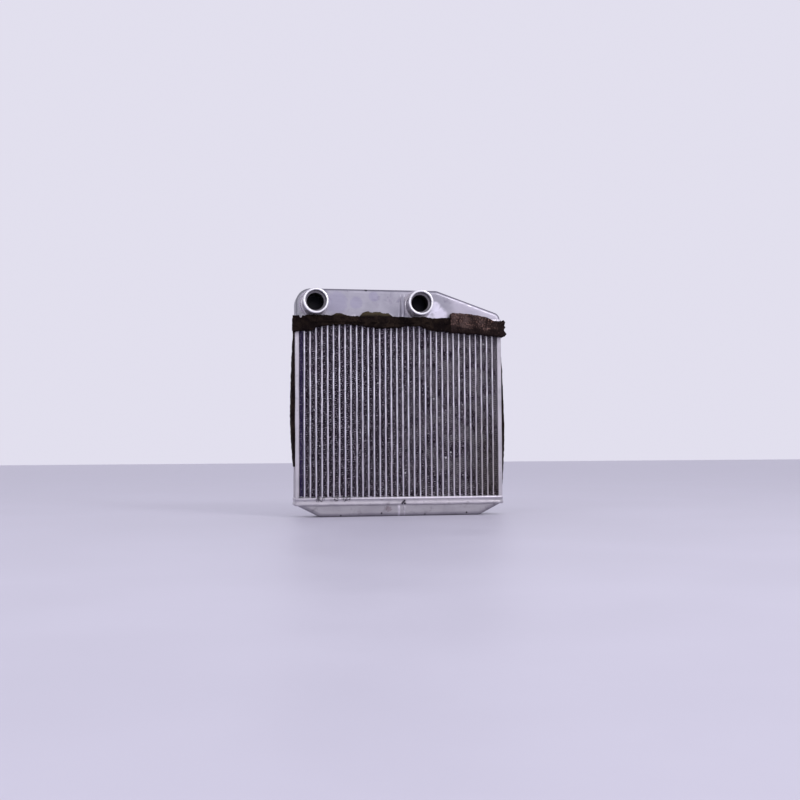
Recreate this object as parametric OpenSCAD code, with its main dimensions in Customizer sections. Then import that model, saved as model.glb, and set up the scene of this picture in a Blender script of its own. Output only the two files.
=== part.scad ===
// Cabin heater core: flat tubes and corrugated fins brazed between two headers,
// with a divided tank on top that carries both hose stubs.
// X runs across the tubes, Y through the core with the stubs towards -Y, and Z up.
// The origin is the middle of the flat foot under the bottom tank.

/* [Core] */
// Distance between neighbouring tubes
tube_pitch = 5.25; // [5.1:0.05:5.5]
// Depth of a tube along the air flow
tube_depth = 22.6; // [20:0.2:22.8]
// Thickness of a tube
tube_t = 1.4; // [1.2:0.1:1.5]
// Wall of a tube
tube_wall = 0.3; // [0.2:0.05:0.4]
// Length of a tube inside each tank
tube_reach = 2.5; // [1.5:0.1:4]
// Height of the open core between the two headers
core_h = 154.9; // [150:0.1:165]
// Length of one whole fin wave along a tube
fin_pitch = 1.9; // [1.8:0.1:3]
// Thickness of the fin sheet
fin_t = 0.12; // [0.08:0.01:0.2]

/* [Headers] */
// Half length of a tank where it enters its header
tank_half_w = 94.3; // [94:0.1:98]
// Half depth of a tank
tank_half_d = 13.1; // [13:0.1:15]
// Thickness of a header plate
plate_t = 1.5; // [1:0.1:2]
// Thickness of a header rim at its two raised edges
rim_t = 1.4; // [1.2:0.1:2]
// Depth of the groove between the raised edges
groove = 0.4; // [0.2:0.05:0.6]
// Height of a header from the core face to the free edge of its rim
header_h = 7.1; // [6:0.1:8]

/* [Tanks] */
// Wall of both tanks
tank_wall = 1.5; // [1:0.1:2]
// Radius of the pressed edges of both tanks
edge_r = 3.5; // [2.5:0.1:4]
// Height of the bottom header's core face above the foot
bottom_face_z = 17.3; // [15.5:0.1:18]
// Half length of the flat foot
foot_half_w = 73; // [70:1:78]
// Slope of the bottom tank's ends
foot_slope = 27; // [24:1:29]
// Height of the top tank above the top header's core face
top_tank_h = 32.8; // [31:0.1:36]
// Radius of the top tank's round left shoulder
left_r = 13.5; // [11:0.5:16]
// Place across the core where the top tank's right shoulder starts to fall
shoulder_x = 34.5; // [32:0.5:38]
// Slope of the right shoulder
shoulder_slope = 19.3; // [18:0.1:20]
// Thickness of the partition between the two halves of the top tank
partition_t = 1.2; // [0.8:0.1:1.5]
// Place of the partition across the core, between the two middle tubes
partition_x = 1; // [0.8:0.1:1.1]

/* [Stubs] */
// Place of the left stub across the core
left_stub_x = -78.1; // [-79:0.1:-76]
// Place of the right stub across the core
right_stub_x = 16; // [14:0.5:20]
// Height of both stubs above the top header's core face
stub_rise = 18.8; // [18.6:0.1:19]
// Length of a stub in front of the tank
stub_l = 20.2; // [18:0.1:26]
// Radius of the water passage
bore_r = 7.5; // [7:0.1:7.8]
// Radius of the socket at the mouth
socket_r = 9.25; // [9:0.05:9.4]
// Depth of the socket
socket_l = 7; // [5:0.5:9]
// Outer radius of the neck
neck_r = 10; // [9.9:0.05:10.2]
// Outer radius of the flange ring
flange_r = 11.25; // [11:0.05:11.6]

/* [Seals] */
// Thickness of the dark foam around the top header
foam_t = 5; // [3:0.5:8]
// Thickness of the thicker foam at the front right
patch_t = 6; // [5:0.5:9]
// Half depth of the foam strips on the side plates
side_foam_half_d = 9.6; // [8:0.1:9.8]

/* [Hidden] */
$fn = 48;
tube_count = 34;
strip_count = tube_count + 1;
strips_per_bank = 5;
bank_count = strip_count / strips_per_bank;

function tube_name(n) = str("tube_", n < 10 ? "0" : "", n);
function bank_name(n) = str("fin_bank_", n);

cut = 1;                          // how far a cutting shape runs past what it cuts
hull_fn = 32;                     // roundness of what a hull joins
top_face_z = bottom_face_z + core_h;
bottom_open_z = bottom_face_z - plate_t;
top_open_z = top_face_z + plate_t;
tank_top_z = top_face_z + top_tank_h;
through_h = core_h + 2 * (plate_t + tube_reach);
stub_z = top_face_z + stub_rise;
front_y = -tank_half_d - rim_t;   // front of the header rims
core_half_w = strip_count * tube_pitch / 2 - tube_t / 2;
header_half_w = tank_half_w + rim_t;

strip_w = tube_pitch - tube_t;    // width of one fin strip
strip_half_d = tube_depth / 2 - 0.3;
fin_waves = floor((core_h - 0.5) / fin_pitch);
fin_low_z = bottom_face_z + (core_h - fin_waves * fin_pitch + fin_pitch / 2) / 2;

plate_web = 1.2;                  // sheet thickness of the side plates
plate_out = 95;                   // outer edge of the side plates' flanges
flange_top_z = top_face_z - 6;
flange_end_r = (plate_out - core_half_w) / 2;
tongue_half_d = 6;

function hundredths(value) = round(100 * value) / 100;

// Thickness of the fin sheet measured across the strip, at its slope
fin_across = hundredths(2 * fin_t * strip_w / fin_pitch);

edge_steps = 4;                   // steps in the rounding of a pressed edge
shoulder_r = 8;
right_r = 7;
right_corner_x = tank_half_w - right_r;
right_corner_z = hundredths(
    tank_top_z - (right_r + (right_corner_x - shoulder_x) * sin(shoulder_slope))
    / cos(shoulder_slope)
);
shoulder_round_x = hundredths(shoulder_x - shoulder_r * tan(shoulder_slope / 2));
foot_r = 10;
toe_r = 5;
toe_x = tank_half_w - toe_r;
toe_z = hundredths((toe_r + (toe_x - foot_half_w) * sin(foot_slope)) / cos(foot_slope));
foot_round_x = hundredths(foot_half_w - foot_r * tan(foot_slope / 2));
bead_r = 0.8;                     // half-round beads that locate the partition
bead_proud = 0.5;
top_bead_x = [-0.1, 3.5];
bottom_bead_x = [-2.4, 3.6];
bead_gap = 0.8;                   // clear height above and below a bead

spigot_r = 8.6;                   // end of a stub that passes through the tank wall
spigot_in = 0.5;                  // how far the spigot stands inside the tank
flare_r = 12.4;                   // foot of a stub on the tank
flange_l = 4;                     // width of the flange ring
lip_r = 0.5;                      // rounding of the flange ring's edges

patch_x = 46;                     // where the thick foam starts
foam_left_x = -97.4;
foam_right_x = 97.6;
back_foam_half_w = 95;
foam_top_z = top_face_z + 6.2;
foam_low_z = top_face_z - 5.6;

// A rectangle with round corners, drawn about the origin
module rounded_rectangle(half_w, half_d, r) {
    square([2 * half_w, 2 * (half_d - r)], center = true);
    square([2 * (half_w - r), 2 * half_d], center = true);
    for (sx = [-1, 1])
        for (sy = [-1, 1])
            translate([sx * (half_w - r), sy * (half_d - r)])
                circle(r);
}

// A slot with round ends, its length along Y
module long_slot(length, width) {
    square([width, length - width], center = true);
    for (s = [-1, 1])
        translate([0, s * (length - width) / 2])
            circle(width / 2);
}

function tube_x(n) = (n - (tube_count + 1) / 2) * tube_pitch;

// Flat tube with two water passages and a web between them
module tube(n) {
    inner = tube_depth - 2 * tube_wall;
    port = (inner - tube_wall) / 2;
    color([0.82, 0.80, 0.85])
        translate([tube_x(n), 0, bottom_open_z - tube_reach])
            linear_extrude(through_h)
                difference() {
                    long_slot(tube_depth, tube_t);
                    for (s = [-1, 1])
                        translate([0, s * (port + tube_wall) / 2])
                            long_slot(port, tube_t - 2 * tube_wall);
                }
}

// One side of the folded sheet, its crests at x = left and x = right
function folds(left, right) = [
    for (k = [0 : fin_waves - 1])
        for (p = [[left, k * fin_pitch], [right, (k + 0.5) * fin_pitch]])
            p
];
function reversed(list) = [for (i = [len(list) - 1 : -1 : 0]) list[i]];

// Corrugated strip that fills the gap to the right of tube n, with 0 the first gap
module fin_strip(n) {
    translate([tube_x(n) + tube_t / 2, strip_half_d, fin_low_z])
        rotate([90, 0, 0])
            linear_extrude(2 * strip_half_d)
                polygon(concat(
                    folds(0, strip_w - fin_across),
                    reversed(folds(fin_across, strip_w))
                ));
}

module fin_bank(bank) {
    color([0.45, 0.41, 0.48])
        for (i = [0 : strips_per_bank - 1])
            fin_strip((bank - 1) * strips_per_bank + i);
}

// Header with its core face at z = 0 and its rim towards +z
module header_plate() {
    groove_z = plate_t + 0.2;
    lip_z = header_h - 2.2;
    color([0.62, 0.58, 0.66]) {
        linear_extrude(plate_t)
            difference() {
                rounded_rectangle(header_half_w, tank_half_d + rim_t, edge_r + rim_t);
                for (n = [1 : tube_count])
                    translate([tube_x(n), 0])
                        long_slot(tube_depth, tube_t);
                for (s = [-1, 1])
                    translate([s * (core_half_w + plate_web / 2), 0])
                        square([plate_web, 2 * tongue_half_d], center = true);
            }
        translate([0, 0, plate_t])
            rim_ring(rim_t, groove_z - plate_t);
        translate([0, 0, groove_z])
            rim_ring(rim_t - groove, lip_z - groove_z);
        translate([0, 0, lip_z])
            rim_ring(rim_t, header_h - lip_z);
    }
}

// Upright ring around the tank mouth
module rim_ring(thickness, height) {
    linear_extrude(height)
        difference() {
            rounded_rectangle(
                tank_half_w + thickness, tank_half_d + thickness, edge_r + thickness
            );
            rounded_rectangle(tank_half_w, tank_half_d, edge_r);
        }
}

module bottom_header() {
    translate([0, 0, bottom_face_z])
        mirror([0, 0, 1])
            header_plate();
}

module top_header() {
    translate([0, 0, top_face_z])
        header_plate();
}

// Front view of the top tank, drawn smaller by inset on every side but the open one
module top_tank_outline(inset, open_z) {
    half_w = tank_half_w - inset;
    intersection() {
        union() {
            translate([left_r - tank_half_w, tank_top_z - left_r])
                circle(left_r - inset);
            translate([shoulder_round_x, tank_top_z - shoulder_r])
                circle(shoulder_r - inset);
            translate([right_corner_x, right_corner_z])
                circle(right_r - inset);
            translate([-half_w, open_z])
                square([2 * half_w, cut]);
        }
        translate([-half_w, open_z])
            square([2 * half_w, 2 * top_tank_h]);
    }
}

// Front view of the bottom tank, drawn smaller by inset on every side but the open one
module bottom_tank_outline(inset, open_z) {
    half_w = tank_half_w - inset;
    intersection() {
        union() {
            for (s = [-1, 1]) {
                translate([s * foot_round_x, foot_r])
                    circle(foot_r - inset);
                translate([s * toe_x, toe_z])
                    circle(toe_r - inset);
            }
            translate([-half_w, open_z - cut])
                square([2 * half_w, cut]);
        }
        translate([-half_w, 0])
            square([2 * half_w, open_z]);
    }
}

// Pressed pan with rounded edges: shrink is 0 for the outside and the wall for the inside
module tank_block(shrink, top, open_z) {
    r = edge_r - shrink;
    hull()
        for (step = [0 : edge_steps]) {
            turn = 90 * step / edge_steps;
            inset = hundredths(shrink + r * (1 - cos(turn)));
            half_d = hundredths(tank_half_d - shrink - r * (1 - sin(turn)));
            rotate([90, 0, 0])
                linear_extrude(2 * half_d, center = true)
                    if (top)
                        top_tank_outline(inset, open_z, $fn = hull_fn);
                    else
                        bottom_tank_outline(inset, open_z, $fn = hull_fn);
        }
}

// Half-round beads on both broad faces of a tank
module beads(places, low_z, high_z) {
    for (x = places)
        for (s = [-1, 1])
            translate([x, s * (tank_half_d - bead_r + bead_proud), low_z])
                cylinder(h = high_z - low_z, r = bead_r);
}

module bottom_tank() {
    color([0.56, 0.54, 0.60])
        difference() {
            union() {
                tank_block(0, false, bottom_open_z);
                beads(bottom_bead_x, edge_r + bead_gap, bottom_face_z - header_h - bead_gap);
            }
            tank_block(tank_wall, false, bottom_open_z + cut);
        }
}

module top_tank() {
    color([0.68, 0.66, 0.74])
        difference() {
            union() {
                tank_block(0, true, top_open_z);
                beads(top_bead_x, top_face_z + header_h + bead_gap, tank_top_z - edge_r - bead_gap);
            }
            tank_block(tank_wall, true, top_open_z - cut);
            for (x = [left_stub_x, right_stub_x])
                translate([x, 0, stub_z])
                    rotate([90, 0, 0])
                        cylinder(h = tank_half_d + cut, r = spigot_r);
        }
}

// Plate across the top tank that fills it from the header to the roof
module tank_partition() {
    color([0.70, 0.69, 0.72])
        intersection() {
            tank_block(tank_wall, true, top_open_z);
            translate([partition_x - partition_t / 2, -tank_half_d, top_open_z])
                cube([partition_t, 2 * tank_half_d, top_tank_h]);
        }
}

// Right side plate: web on the last fin strip, flanges outwards, a tongue at each end
module side_plate() {
    web_x = core_half_w;
    flange_h = flange_top_z - bottom_face_z;
    color([0.69, 0.65, 0.73]) {
        translate([web_x, -tube_depth / 2, bottom_face_z])
            cube([plate_web, tube_depth, core_h]);
        translate([web_x, -tongue_half_d, bottom_open_z - tube_reach])
            cube([plate_web, 2 * tongue_half_d, through_h]);
        for (y = [plate_web - tube_depth / 2, tube_depth / 2])
            translate([web_x, y, bottom_face_z])
                rotate([90, 0, 0])
                    linear_extrude(plate_web) {
                        square([2 * flange_end_r, flange_h - flange_end_r]);
                        translate([flange_end_r, flange_h - flange_end_r])
                            circle(flange_end_r);
                    }
    }
}

// Points of an arc from angle a0 to a1
function arc(centre, r, a0, a1, steps = 6) = [
    for (i = [0 : steps])
        centre + r * [cos(a0 + (a1 - a0) * i / steps), sin(a0 + (a1 - a0) * i / steps)]
];

// Hose stub, turned from a profile of radius and distance in front of the core's middle.
// Its foot is cut flat where it meets the header rim below it.
module stub(x) {
    face = tank_half_d;
    mouth = face + stub_l;
    back = mouth - flange_l;
    fillet = flare_r - neck_r;
    color([0.80, 0.78, 0.82])
        difference() {
            translate([x, 0, stub_z])
                rotate([90, 0, 0])
                    rotate_extrude()
                        polygon(concat(
                            [[bore_r, face - tank_wall - spigot_in]],
                            [[bore_r, mouth - socket_l]],
                            [[socket_r, mouth - socket_l]],
                            arc([socket_r + lip_r, mouth - lip_r], lip_r, 180, 90),
                            arc([flange_r - lip_r, mouth - lip_r], lip_r, 90, 0),
                            arc([flange_r - lip_r, back + lip_r], lip_r, 0, -90),
                            [[neck_r, back]],
                            arc([flare_r, face + fillet], fillet, 180, 270),
                            [[spigot_r, face]],
                            [[spigot_r, face - tank_wall - spigot_in]]
                        ));
            translate([x - flare_r, -face - fillet, top_face_z])
                cube([2 * flare_r, fillet, header_h]);
        }
}

// Slab of foam standing in front of plane y = back, from its front view
module foam_slab(points, back, thickness) {
    translate([0, back, 0])
        rotate([90, 0, 0])
            linear_extrude(thickness)
                polygon(points);
}

module front_seal_left() {
    color([0.16, 0.12, 0.11])
        foam_slab([
            [foam_left_x, foam_low_z - 1],
            [-80, foam_low_z - 1],
            [-54, top_face_z],
            [-17, foam_low_z + 2],
            [19, top_face_z - 0.5],
            [patch_x, foam_low_z + 2],
            [patch_x, foam_top_z],
            [-10, foam_top_z],
            [-22, foam_top_z + 3.5],
            [-36, foam_top_z],
            [foam_left_x, foam_top_z]
        ], front_y, foam_t);
}

module front_seal_right() {
    color([0.24, 0.19, 0.17])
        foam_slab([
            [patch_x, foam_low_z + 2],
            [60, foam_low_z + 1],
            [foam_right_x, foam_low_z - 3.5],
            [foam_right_x, foam_top_z - 1],
            [70, foam_top_z + 2],
            [patch_x, foam_top_z + 3.5]
        ], front_y, patch_t);
}

module back_seal() {
    color([0.16, 0.12, 0.11])
        foam_slab([
            [-back_foam_half_w, foam_low_z],
            [back_foam_half_w, foam_low_z],
            [back_foam_half_w, foam_top_z],
            [-back_foam_half_w, foam_top_z]
        ], foam_t - front_y, foam_t);
}

// Foam folded over one end of the top header, from the rim out to x = out_x and back to back_y
module end_seal(out_x, low_z, back_y) {
    side = sign(out_x);
    color([0.15, 0.11, 0.10])
        foam_slab([
            [side * header_half_w, low_z],
            [out_x, low_z],
            [out_x, foam_top_z],
            [side * header_half_w, foam_top_z]
        ], back_y, back_y - front_y);
}

// Foam strip in the channel of a side plate, crowned outwards
module side_seal(side, low_z, high_z, crown_x, crown_z) {
    inner_x = core_half_w + plate_web;
    color([0.16, 0.11, 0.10])
        foam_slab([
            [side * inner_x, low_z],
            [side * (plate_out + 0.5), low_z],
            [side * crown_x, crown_z],
            [side * (plate_out + 0.8), high_z],
            [side * inner_x, high_z]
        ], side_foam_half_d, 2 * side_foam_half_d);
}

for (n = [1 : tube_count])
    tube(n);
for (n = [1 : bank_count])
    fin_bank(n);
bottom_header();
top_header();
bottom_tank();
top_tank();
tank_partition();
mirror([1, 0, 0]) side_plate();  // left_side_plate
side_plate();  // right_side_plate
stub(left_stub_x);  // left_stub
stub(right_stub_x);  // right_stub
front_seal_left();
front_seal_right();
back_seal();
end_seal(foam_left_x, foam_low_z, -7);  // left_end_seal
end_seal(foam_right_x, foam_low_z - 3.5, -front_y);  // right_end_seal
side_seal(-1, 45, 166, 98.3, 95);  // left_side_seal
side_seal(1, 26, 151, 98.4, 77);  // right_side_seal
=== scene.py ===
"""Looks of a brazed cabin heater core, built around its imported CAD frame.

Shapes are worked out in millimetres, in the CAD frame, and turned into metres when a mesh
is made: X runs across the tubes, -Y is the side with the hose stubs, and Z is up.
"""

import math
import random

import bmesh
import bpy
import numpy as np
from mathutils import Matrix, Vector, noise
from mathutils.geometry import tessellate_polygon


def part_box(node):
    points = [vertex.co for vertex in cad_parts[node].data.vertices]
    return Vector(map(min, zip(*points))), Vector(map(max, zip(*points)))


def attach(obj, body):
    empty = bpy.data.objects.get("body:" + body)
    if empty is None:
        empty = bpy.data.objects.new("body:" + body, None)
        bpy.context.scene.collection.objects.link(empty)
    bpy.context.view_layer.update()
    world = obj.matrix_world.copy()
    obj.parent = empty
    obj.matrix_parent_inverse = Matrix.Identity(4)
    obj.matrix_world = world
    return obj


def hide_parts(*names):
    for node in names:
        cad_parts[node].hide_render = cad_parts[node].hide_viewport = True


MM = 0.001
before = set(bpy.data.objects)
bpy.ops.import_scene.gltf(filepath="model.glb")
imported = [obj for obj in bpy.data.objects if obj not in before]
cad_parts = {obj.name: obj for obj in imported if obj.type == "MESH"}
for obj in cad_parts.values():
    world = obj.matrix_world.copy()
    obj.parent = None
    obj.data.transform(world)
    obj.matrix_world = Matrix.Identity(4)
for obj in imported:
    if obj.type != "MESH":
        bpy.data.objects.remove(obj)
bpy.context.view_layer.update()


# ---------------------------------------------------------------- sizes from the frame


def mm_box(node):
    """Lowest and highest corner of a CAD node, in millimetres."""
    low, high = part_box(node)
    return np.array(low) / MM, np.array(high) / MM


TUBES = sorted(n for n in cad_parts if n.startswith("tube_"))
BANKS = sorted(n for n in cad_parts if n.startswith("fin_bank_"))
TUBE_X = [float(np.mean([b[0] for b in mm_box(n)])) for n in TUBES]
TUBE_LOW, TUBE_HIGH = mm_box(TUBES[0])
TUBE_T = TUBE_HIGH[0] - TUBE_LOW[0]
TUBE_HALF_D = TUBE_HIGH[1]
TUBE_WALL = 0.3
PITCH = TUBE_X[1] - TUBE_X[0]
STRIPS_PER_BANK = (len(TUBES) + 1) // len(BANKS)

HEADER_LOW, HEADER_HIGH = mm_box("bottom_header")
CORE_LOW_Z = HEADER_HIGH[2]
CORE_HIGH_Z = mm_box("top_header")[0][2]
HEADER_H = HEADER_HIGH[2] - HEADER_LOW[2]
RIM_T = 1.4
PLATE_T = 1.5
TANK_HALF_W = HEADER_HIGH[0] - RIM_T
TANK_HALF_D = HEADER_HIGH[1] - RIM_T
TANK_TOP_Z = mm_box("top_tank")[1][2]
TANK_WALL = 1.5
EDGE_R = 3.5
FRONT_Y = HEADER_LOW[1]
TONGUE_T = 1.2
TONGUE_HALF_D = 6.0
SHOULDER_X = 34.5
TOP_BEADS = (-0.1, 3.5)
BOTTOM_BEADS = (-1.9, 3.2)
CRIMP_X = 2.8
STUB_FOOT_R = 12.4
STUB_HOLE_R = 8.55
STUB_LENGTH = 20.2
STUBS = {"left_stub": "hose_stub_left", "right_stub": "hose_stub_right"}


# ---------------------------------------------------------------- mesh helpers


def smooth_step(value, low, high):
    t = np.clip((np.asarray(value, float) - low) / (high - low), 0, 1)
    return t * t * (3 - 2 * t)


def soft_noise(x, y, z, size, seed=0.0):
    """Smooth noise from -1 to 1 at each point, with bumps about size millimetres wide."""
    shift = 17.3 * seed
    points = zip(np.ravel(x) / size + shift, np.ravel(y) / size - shift, np.ravel(z) / size + shift)
    values = [noise.noise(Vector(p)) for p in points]
    return np.array(values).reshape(np.shape(x))


def grid_quads(rows, columns, wrap=False, ring=False, start=0):
    """Faces of a grid of points stored row by row.

    With wrap the last column joins the first one, and with ring the last row does too.
    """
    r = np.arange(rows if ring else rows - 1)[:, None]
    c = np.arange(columns if wrap else columns - 1)[None, :]
    here, below = start + r * columns, start + (r + 1) % rows * columns
    after = (c + 1) % columns
    quads = np.stack([here + c, here + after, below + after, below + c], axis=-1)
    return quads.reshape(-1, 4).tolist()


def mesh_object(name, points, faces, material, sharp=40, weld=0.002, inside=None):
    """A mesh object from points in millimetres, closed up where points meet, faces outwards.

    inside says for each point how deep in a hollow it lies, from 0 to 1, which sets the painted shade
    there.
    """
    mesh = bpy.data.meshes.new(name)
    mesh.from_pydata((np.asarray(points, float) * MM).tolist(), [], faces)
    if inside is not None:
        layer = mesh.attributes.new("inside", "FLOAT", "POINT")
        layer.data.foreach_set("value", np.asarray(inside, float))
    if weld:
        work = bmesh.new()
        work.from_mesh(mesh)
        bmesh.ops.remove_doubles(work, verts=work.verts, dist=weld * MM)
        bmesh.ops.recalc_face_normals(work, faces=work.faces)
        work.to_mesh(mesh)
        work.free()
    mesh.validate()
    mesh.materials.append(material)
    mesh.shade_smooth()
    mesh.set_sharp_from_angle(angle=math.radians(sharp))
    piece = bpy.data.objects.new(name, mesh)
    bpy.context.scene.collection.objects.link(piece)
    return piece


def place(piece, slot, *nodes):
    """Hands a finished piece to the frame, in the place of its CAD nodes."""
    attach(piece, "root")
    if nodes:
        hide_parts(*nodes)
    return piece


def carve(piece, cutters):
    """Cuts the cutters out of the piece for good and removes them."""
    for cutter in cutters:
        cut = piece.modifiers.new("cut", "BOOLEAN")
        cut.operation = "DIFFERENCE"
        cut.solver = "EXACT"
        cut.object = cutter
    settled = piece.evaluated_get(bpy.context.evaluated_depsgraph_get())
    mesh = bpy.data.meshes.new_from_object(settled)
    piece.modifiers.clear()
    piece.data = mesh
    for cutter in cutters:
        bpy.data.objects.remove(cutter)


def arc(centre, radius, start, stop, steps):
    """Points on an arc between two angles in degrees."""
    turn = np.radians(np.linspace(start, stop, steps + 1))
    return np.stack([centre[0] + radius * np.cos(turn), centre[1] + radius * np.sin(turn)], axis=1)


def line(start, stop, spacing):
    """Evenly spaced points on a line, without the last one."""
    start, stop = np.array(start, float), np.array(stop, float)
    steps = max(1, round(float(np.linalg.norm(stop - start)) / spacing))
    return start + (stop - start) * np.arange(steps)[:, None] / steps


def upright(outline, z):
    """An outline in X and Y, laid flat at the height z."""
    return np.column_stack([outline, np.full(len(outline), z)])


def facing(outline, y):
    """An outline in X and Z, seen from the front, at the depth y."""
    return np.column_stack([outline[:, 0], np.full(len(outline), y), outline[:, 1]])


def extruded(sections, places, to_point=upright, closed_ends=True):
    """Points and faces of a closed outline carried through several places.

    sections holds one outline, as (n, 2) points, for each of the places.
    """
    rows = [to_point(s, p) for s, p in zip(sections, places)]
    count = len(rows[0])
    faces = grid_quads(len(rows), count, wrap=True)
    if closed_ends:
        last = (len(rows) - 1) * count
        faces.append(list(range(count)))
        faces.append(list(range(last, last + count)))
    return np.concatenate(rows), faces


def lids(loops, heights):
    """A flat face at each height that fills the first loop around the other loops."""
    rings = [[Vector((*p, 0)) for p in loop] for loop in loops]
    flat = np.array([tuple(p) for ring in rings for p in ring])
    triangles = [list(t) for t in tessellate_polygon(rings)]
    return [(flat + (0, 0, z), triangles) for z in heights]


def joined(parts):
    """One list of points and one of faces from several."""
    points, faces, start = [], [], 0
    for p, f in parts:
        points.append(np.asarray(p, float))
        faces.extend([[i + start for i in face] for face in f])
        start += len(p)
    return np.concatenate(points), faces


# ---------------------------------------------------------------- materials


class Shader:
    """A material's node tree, with short calls for the nodes used here."""

    def __init__(self, name):
        self.material = bpy.data.materials.new(name)
        self.material.use_nodes = True
        self.tree = self.material.node_tree
        self.surface = self.tree.nodes["Principled BSDF"]
        self.place = self.tree.nodes.new("ShaderNodeTexCoord").outputs["Object"]
        self.colour = None

    def node(self, kind, inputs, **settings):
        made = self.tree.nodes.new("ShaderNode" + kind)
        for key, value in settings.items():
            setattr(made, key, value)
        for key, value in inputs.items():
            self.feed(made.inputs[key], value)
        return made

    def feed(self, socket, value):
        if isinstance(value, bpy.types.NodeSocket):
            self.tree.links.new(value, socket)
        elif isinstance(value, tuple) and socket.type == "RGBA":
            socket.default_value = (*value, 1.0)
        else:
            socket.default_value = value

    def noise(self, size, detail=4.0, rough=0.55, stretch=(1, 1, 1), distort=0.0):
        """Cloudy noise whose blotches are about size millimetres wide."""
        spread = self.node("Mapping", {"Vector": self.place, "Scale": stretch}).outputs["Vector"]
        inputs = {"Vector": spread, "Scale": 1 / (size * MM), "Detail": detail}
        inputs |= {"Roughness": rough, "Distortion": distort}
        return self.node("TexNoise", inputs).outputs["Fac"]

    def pores(self, size):
        """Distance to the nearest of scattered points, size millimetres apart."""
        inputs = {"Vector": self.place, "Scale": 1 / (size * MM)}
        return self.node("TexVoronoi", inputs).outputs["Distance"]

    def between(self, value, low, high, to_low=0.0, to_high=1.0):
        """value mapped smoothly from low..high onto to_low..to_high."""
        inputs = {"Value": value, "From Min": low, "From Max": high}
        inputs |= {"To Min": to_low, "To Max": to_high}
        return self.node("MapRange", inputs, interpolation_type="SMOOTHSTEP").outputs["Result"]

    def axis(self, letter):
        """The place along one axis, in metres."""
        return self.node("SeparateXYZ", {"Vector": self.place}).outputs[letter]

    def ramp(self, letter, start, stop, to_low=0.0, to_high=1.0):
        """to_low up to start millimetres along an axis, and to_high from stop on."""
        return self.between(self.axis(letter), start * MM, stop * MM, to_low, to_high)

    def calc(self, operation, a, b=0.0):
        return self.node("Math", {0: a, 1: b}, operation=operation).outputs["Value"]

    def times(self, a, b):
        return self.calc("MULTIPLY", a, b)

    def depth(self):
        """The distance from the core's middle plane, in metres."""
        return self.calc("ABSOLUTE", self.axis("Y"))

    def near(self, x, z, radius):
        """1 at a place on the front, falling to 0 at radius millimetres from it."""
        across = self.calc("SUBTRACT", self.axis("X"), x * MM)
        up = self.calc("SUBTRACT", self.axis("Z"), z * MM)
        squared = self.calc("ADD", self.times(across, across), self.times(up, up))
        return self.between(self.calc("POWER", squared, 0.5), 0.0, radius * MM, 1.0, 0.0)

    def mix(self, share, a, b):
        """Colour a turning to colour b by share."""
        inputs = {"Factor": share, 6: a, 7: b}
        return self.node("Mix", inputs, data_type="RGBA").outputs[2]

    def tint(self, share, tint, amount=None):
        """Turns the colour to tint by share, and by amount of it where amount is given."""
        share = share if amount is None else self.times(share, amount)
        self.colour = self.mix(share, self.colour, tint)

    def inside(self):
        """How deep in a hollow the surface lies, which sets the painted shade there."""
        return self.node("Attribute", {}, attribute_name="inside").outputs["Fac"]

    def bump(self, height, depth, under=None):
        """Raises the surface by height times depth millimetres."""
        inputs = {"Height": height, "Distance": depth * MM, "Strength": 1.0}
        if under is not None:
            inputs["Normal"] = under
        return self.node("Bump", inputs).outputs["Normal"]

    def finish(self, roughness, normal, metallic):
        inputs = {"Base Color": self.colour, "Roughness": roughness}
        inputs |= {"Normal": normal, "Metallic": metallic}
        for key, value in inputs.items():
            self.feed(self.surface.inputs[key], value)
        return self.material


# painted shade: near black, laid in hollows such as the tank's inner skin and the stub bores
HOLLOW_SHADE = (0.008, 0.006, 0.007)


def pressed_aluminium(name, light, dark, stain, metallic=0.8, rough=(0.36, 0.58)):
    """Dull sheet aluminium: cloudy oxide, darker smudges, fine grain, a few pits and painted shade in
    hollows.
    """
    s = Shader(name)
    cloud = s.noise(22, detail=5)
    smudge = s.between(s.noise(9, detail=6, distort=0.6), 0.56, 0.72)
    grain = s.noise(0.35, detail=3)
    streaks = s.noise(1.6, detail=3, stretch=(0.12, 1, 1))
    s.colour = s.mix(s.between(cloud, 0.3, 0.7), dark, light)
    s.tint(smudge, stain, 0.45)
    pits = s.between(s.pores(6.5), 0.05, 0.11, 1.0, 0.0)
    s.tint(pits, stain, 0.5)
    # painted shade: darkens the surface by how deep in a hollow it lies
    s.tint(s.inside(), HOLLOW_SHADE)
    streaky = s.between(streaks, 0.3, 0.7, -0.05, 0.06)
    roughness = s.calc("ADD", s.between(cloud, 0.35, 0.7, *rough), streaky)
    normal = s.bump(cloud, 0.25)
    normal = s.bump(grain, 0.02, normal)
    normal = s.bump(s.calc("SUBTRACT", 1.0, pits), 0.05, normal)
    s.feed(s.surface.inputs["Specular IOR Level"], s.between(s.inside(), 0.0, 1.0, 0.5, 0.02))
    metallic = s.between(s.inside(), 0.0, 1.0, metallic, 0.0)
    return s, (roughness, normal, metallic)


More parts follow.
